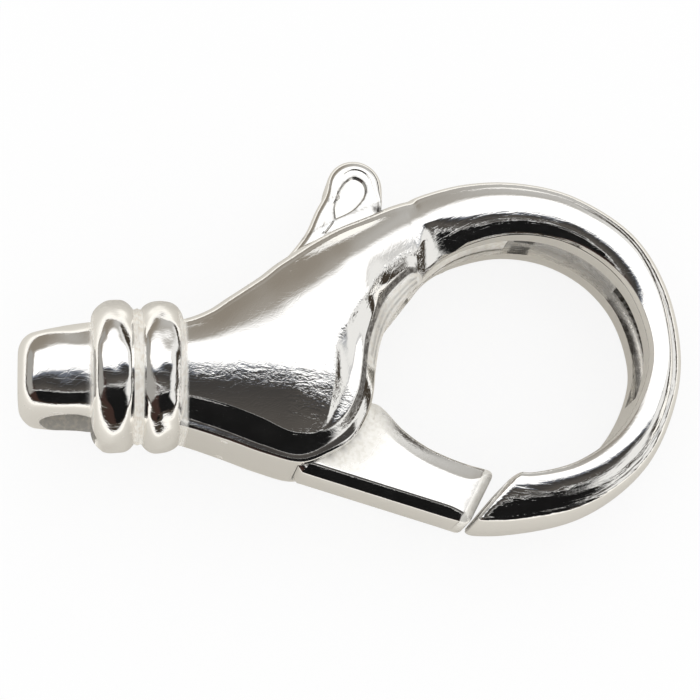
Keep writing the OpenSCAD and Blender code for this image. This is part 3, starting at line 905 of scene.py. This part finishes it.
def scratchGroup():
    # hair-fine curved scratches in two directions, over a soft waviness; height in millimetres
    group, given, out = newGroup("hair_scratches", {"Scratch Depth": 0.004, "Grain Depth": 0.001,
                                                    "Wave Depth": 0.02}, "Height")
    total = times(group, grain(group, (0.45, 0.45, 0.45), 1), given["Wave Depth"])
    for turn, across, width in ((-28, 3.0, 0.05), (-62, 2.4, 0.045), (8, 3.6, 0.04)):
        wave = grain(group, (0.7, across, across), 2, 0.5, turn)
        line = ramp(group, away(group, wave, 0.5), width, 0.0)
        total = sums(group, "SUBTRACT", total, times(group, line, given["Scratch Depth"]))
    fine = grain(group, (1.6, 9.0, 9.0), 2, 0.3, -35)
    feed(group, out["Height"], sums(group, "ADD", total, times(group, fine, given["Grain Depth"])))
    return group


def crinkleGroup():
    # foil-like crinkles where the metal was rubbed; height in millimetres
    group, given, out = newGroup("foil_crinkle", {"Amount": 0.0, "Crinkle Depth": 0.03}, "Height")
    total = None
    for scale, share in ((1.3, 1.0), (3.0, 0.45), (7.0, 0.20)):
        wave = grain(group, (scale, scale * 2.2, scale * 2.2), 1, 0.8, 12)
        fold = times(group, away(group, wave, 0.5), share)
        total = fold if total is None else sums(group, "ADD", total, fold)
    feed(group, out["Height"], times(group, total, given["Amount"], given["Crinkle Depth"]))
    return group


def streakGroup():
    # long brushed streaks that follow the hook; height in millimetres
    group, given, out = newGroup("hook_streaks", {"Flow": [0.0, 0.0, 0.0], "Amount": 0.0,
                                                  "Streak Depth": 0.004}, "Height")
    fine = waves(group, given["Flow"], (0.55, 7.0, 3.0), 2, 0.4)
    broad = waves(group, given["Flow"], (0.35, 2.6, 1.2), 1, 0.4)
    total = sums(group, "ADD", fine, times(group, broad, 0.6))
    feed(group, out["Height"], times(group, total, given["Amount"], given["Streak Depth"]))
    return group


def frostAndShadeGroup():
    # frosted crevices, and brown-black painted shade in creases, gaps and recesses, laid over polished silver
    group, given, out = newGroup("frost_and_painted_shade", {
        "Frost": 0.0, "Painted Shade": 0.0, "Silver": (0.95, 0.94, 0.92), "Frosted Silver": (0.97, 0.945, 0.88),
        "Frost Shade": (0.87, 0.82, 0.73), "Painted Shade Colour": (0.06, 0.05, 0.04), "Polished": 0.06,
        "Frosted": 0.42, "Pebble Depth": 0.012}, "Colour", "Roughness", "Height", "Metal")
    cloud = grain(group, (1.3, 1.3, 1.3), 3)
    speck = grain(group, (5.0, 5.0, 5.0), 3)
    frost = times(group, given["Frost"], ramp(group, cloud, 0.25, 0.50, 0.65, 1.0))
    # the painted shade mask, broken up by specks
    paintedShade = sums(group, "MULTIPLY", given["Painted Shade"], ramp(group, speck, 0.30, 0.60, 0.45, 1.0))
    cream = blended(group, ramp(group, speck, 0.38, 0.56), given["Frost Shade"], given["Frosted Silver"])
    colour = blended(group, frost, given["Silver"], cream)
    feed(group, out["Colour"], blended(group, paintedShade, colour, given["Painted Shade Colour"]))
    smooth = times(group, ramp(group, cloud, 0.3, 0.7, 0.75, 1.4), given["Polished"])
    rough = blended(group, frost, smooth, given["Frosted"])
    value = addNode(group, "ShaderNodeSeparateColor", {0: rough})
    feed(group, out["Roughness"], sums(group, "ADD", value.outputs[0], times(group, paintedShade, 0.3)))
    feed(group, out["Height"], times(group, speck, frost, given["Pebble Depth"]))
    feed(group, out["Metal"], times(group, ramp(group, paintedShade, 0.5, 1.0, 1.0, 0.25),
                                    ramp(group, frost, 0.0, 1.0, 1.0, 0.2)))
    return group


groups = {"scratches": scratchGroup(), "crinkle": crinkleGroup(), "streaks": streakGroup(),
          "frostAndShade": frostAndShadeGroup()}
finishes = {
    "case_silver": {"Scratch Depth": 0.0006, "Grain Depth": 0.0003, "Wave Depth": 0.024,
                    "Crinkle Depth": 0.045, "Streak Depth": 0.019, "Pebble Depth": 0.035},
    "lever_silver": {"Scratch Depth": 0.0004, "Grain Depth": 0.0003, "Wave Depth": 0.012,
                     "Crinkle Depth": 0.02, "Pebble Depth": 0.012, "Frost Shade": (0.87, 0.84, 0.76)},
    "leaf_silver": {"Scratch Depth": 0.002, "Grain Depth": 0.003, "Wave Depth": 0.01, "Crinkle Depth": 0.0,
                    "Pebble Depth": 0.02, "Silver": (0.86, 0.83, 0.77), "Polished": 0.22, "Frost": 0.9},
    "pin_silver": {"Scratch Depth": 0.002, "Grain Depth": 0.003, "Wave Depth": 0.0, "Crinkle Depth": 0.0,
                   "Pebble Depth": 0.01, "Silver": (0.70, 0.68, 0.64), "Polished": 0.28, "Frost": 0.2},
}


def silver(name, masked):
    material = bpy.data.materials.new(name)
    material.use_nodes = True
    tree = material.node_tree
    shader = tree.nodes["Principled BSDF"]
    placed = {}
    for key, group in groups.items():
        placed[key] = addNode(tree, "ShaderNodeGroup", node_tree=group)
        for label, value in finishes[name].items():
            if label in placed[key].inputs:
                feed(tree, placed[key].inputs[label], value)
    masks = [("frostAndShade", "Frost", "frost", "Fac"), ("frostAndShade", "Painted Shade", "paintedShade", "Fac"),
             ("crinkle", "Amount", "worn", "Fac"), ("streaks", "Amount", "streak", "Fac"),
             ("streaks", "Flow", "flow", "Vector")]
    for key, label, mask, kind in masks if masked else []:
        made = addNode(tree, "ShaderNodeAttribute", attribute_name=mask)
        feed(tree, placed[key].inputs[label], made.outputs[kind])
    height = placed["scratches"].outputs["Height"]
    for key in ("crinkle", "streaks", "frostAndShade"):
        height = sums(tree, "ADD", height, placed[key].outputs["Height"])
    bump = addNode(tree, "ShaderNodeBump", {"Strength": 1, "Distance": 0.001, "Height": height})
    frostAndShade = placed["frostAndShade"].outputs
    for label, value in (("Normal", bump.outputs["Normal"]), ("Base Color", frostAndShade["Colour"]),
                         ("Roughness", frostAndShade["Roughness"]), ("Metallic", frostAndShade["Metal"])):
        feed(tree, shader.inputs[label], value)
    return material


def dress(piece, material):
    piece.data.materials.clear()
    piece.data.materials.append(material)


def placePiece(piece, node, finish, masks, sharp):
    dress(piece, silver(finish, True))
    for polygon in piece.data.polygons:
        polygon.use_smooth = True
    piece.data.set_sharp_from_angle(angle=math.radians(sharp))
    masks(piece)
    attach(piece, node)
    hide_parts(node)
    print(piece.name, "made:", len(piece.data.polygons), "faces")


placePiece(makeCase(), "case", "case_silver", caseMasks, 32)
placePiece(makeLever(), "lever", "lever_silver", leverMasks, 38)
for name, finish in (("pivot_pin", "pin_silver"), ("leaf_spring", "leaf_silver")):
    dress(frame["nodes"][name], silver(finish, False))
print("pin and leaf finished")

# Studio: a bright soft light overhead and behind, a dark front, grey walls, side cards and a pale table
studioLook = {"lens": 95.1, "distance": 82.5, "aim": (-7.73, 1.231, 0),
              "light": (1.25, 1.25, 1.25), "edge": (0.17, 0.19, 0.23), "front": (0.007, 0.007, 0.007),
              "near": (0.048, 0.045, 0.043), "nearLow": (0.088, 0.080, 0.072), "glow": (0.048, 0.027, 0.022),
              "strip": (0.75, 0.75, 0.74), "wallTop": (0.40, 0.375, 0.34), "wallLeft": (0.27, 0.24, 0.20),
              "wallRight": (0.50, 0.49, 0.47), "cardLeft": (0.36, 0.35, 0.33),
              "cardRight": (0.86, 0.855, 0.84), "horizon": (0.95, 0.94, 0.92), "gap": (0.05, 0.04, 0.03),
              "table": (0.62, 0.60, 0.555), "tableShadow": (0.10, 0.092, 0.08),
              "tableFar": (0.50, 0.49, 0.47), "air": (0.98, 0.98, 0.98), "paper": (0.83, 0.83, 0.83),
              "paperShade": (0.17, 0.17, 0.17)}
toCamera = np.array([-0.15546, -0.29679, 0.94220])
cameraUp = np.array([0, 0.95380, 0.30045])
cameraRight = np.array([0.98784, -0.04671, 0.14828])


def makeCamera():
    data = bpy.data.cameras.new("camera")
    data.lens = studioLook["lens"]
    data.sensor_width = 36
    data.clip_start = 0.001
    camera = bpy.data.objects.new("camera", data)
    bpy.context.scene.collection.objects.link(camera)
    place = toRow(np.array(studioLook["aim"]) + toCamera * studioLook["distance"])
    turn = turnRow @ np.column_stack([cameraRight, cameraUp, toCamera])
    camera.matrix_world = Matrix([(*turn[k], place[k]) for k in range(3)] + [(0, 0, 0, 1)])
    bpy.context.scene.camera = camera


def clearedTree(owner):
    owner.use_nodes = True
    owner.node_tree.nodes.clear()
    return owner.node_tree


def makeFloor():
    mesh = bpy.data.meshes.new("floor")
    mesh.from_pydata([(-2, -2, 0), (2, -2, 0), (2, 2, 0), (-2, 2, 0)], [], [(0, 1, 2, 3)])
    floor = bpy.data.objects.new("floor", mesh)
    bpy.context.scene.collection.objects.link(floor)
    material = bpy.data.materials.new("pale_paper")
    tree = clearedTree(material)
    spot = addNode(tree, "ShaderNodeSeparateXYZ", {0: addNode(tree, "ShaderNodeTexCoord").outputs["Object"]})
    squares = [sums(tree, "POWER", times(tree, value, squeeze), 2)
               for value, squeeze in zip(spot.outputs, (0.62, 1))]
    far = sums(tree, "SQRT", sums(tree, "ADD", *squares))
    glossy = addNode(tree, "ShaderNodeLightPath").outputs["Is Glossy Ray"]
    # what reflections see of the table carries a painted shadow: dark next to the clasp, fading out to
    # tableFar
    table = blended(tree, ramp(tree, far, 0.012, 0.045), studioLook["tableShadow"], studioLook["tableFar"])
    glow = blended(tree, glossy, studioLook["paper"], table)
    shade = blended(tree, glossy, studioLook["paperShade"], studioLook["table"])
    both = addNode(tree, "ShaderNodeAddShader", {
        0: addNode(tree, "ShaderNodeEmission", {"Color": glow, "Strength": 1}).outputs[0],
        1: addNode(tree, "ShaderNodeBsdfDiffuse", {"Color": shade}).outputs[0]})
    addNode(tree, "ShaderNodeOutputMaterial", {"Surface": both.outputs[0]})
    mesh.materials.append(material)


def makeStudio():
    look = studioLook
    world = bpy.data.worlds.new("studio")
    bpy.context.scene.world = world
    tree = clearedTree(world)
    way = addNode(tree, "ShaderNodeTexCoord").outputs["Generated"]
    dx, dy, dz = addNode(tree, "ShaderNodeSeparateXYZ", {0: way}).outputs
    height = sums(tree, "MAXIMUM", dz, 0.02)
    px = sums(tree, "DIVIDE", dx, height)
    py = sums(tree, "DIVIDE", dy, height)
    wide = sums(tree, "ABSOLUTE", px)
    fromGap = away(tree, dz, 0.125)
    fromStrip = away(tree, py, -0.62)
    near = blended(tree, ramp(tree, py, -0.45, -0.15), look["nearLow"], look["near"])
    wall = blended(tree, ramp(tree, dx, -0.35, 0.35), look["wallLeft"], look["wallRight"])
    wall = blended(tree, ramp(tree, dz, 0.3, 0.85), wall, look["wallTop"])
    # from back to front, each with the soft edges that bound it: direction, start, full
    cards = [(near, (py, -0.66, -0.48)),
             (look["glow"], (px, -0.7, -1.1), (py, -0.1, -0.5)),
             (look["edge"], (py, -0.12, -0.02), (wide, 1.6, 1.2)),
             (wall, (dy, 0.0, 0.22)),
             (look["gap"], (fromGap, 0.06, 0.035), (dy, 0.35, 0.05)),
             (look["cardLeft"], (dz, 0.15, 0.19), (dz, 0.66, 0.54), (dy, -0.5, -0.38), (dx, -0.70, -0.78)),
             (look["cardRight"], (dz, 0.15, 0.19), (dz, 0.68, 0.56), (dy, -0.66, -0.54), (dx, 0.42, 0.72)),
             (look["gap"], (dz, 0.04, 0.07), (dz, 0.30, 0.26), (dx, 0.45, 0.65), (dy, -0.30, -0.18)),
             (look["strip"], (fromStrip, 0.055, 0.02), (wide, 1.6, 1.2)),
             (look["light"], (wide, 1.25, 1.05), (py, -0.03, 0.04), (py, 1.35, 0.75)),
             (look["horizon"], (dz, 0.07, 0.04))]
    colour = look["front"]
    for card, *bounds in cards:
        colour = blended(tree, times(tree, *[ramp(tree, *bound) for bound in bounds]), colour, card)
    # the cards show in reflections alone
    mix = addNode(tree, "ShaderNodeMixShader", {
        0: addNode(tree, "ShaderNodeLightPath").outputs["Is Glossy Ray"],
        1: addNode(tree, "ShaderNodeBackground", {"Color": look["air"]}).outputs[0],
        2: addNode(tree, "ShaderNodeBackground", {"Color": colour}).outputs[0]})
    addNode(tree, "ShaderNodeOutputWorld", {"Surface": mix.outputs[0]})


makeFloor()
makeStudio()
makeCamera()
bpy.context.scene.view_settings.view_transform = "Standard"
print("studio made")
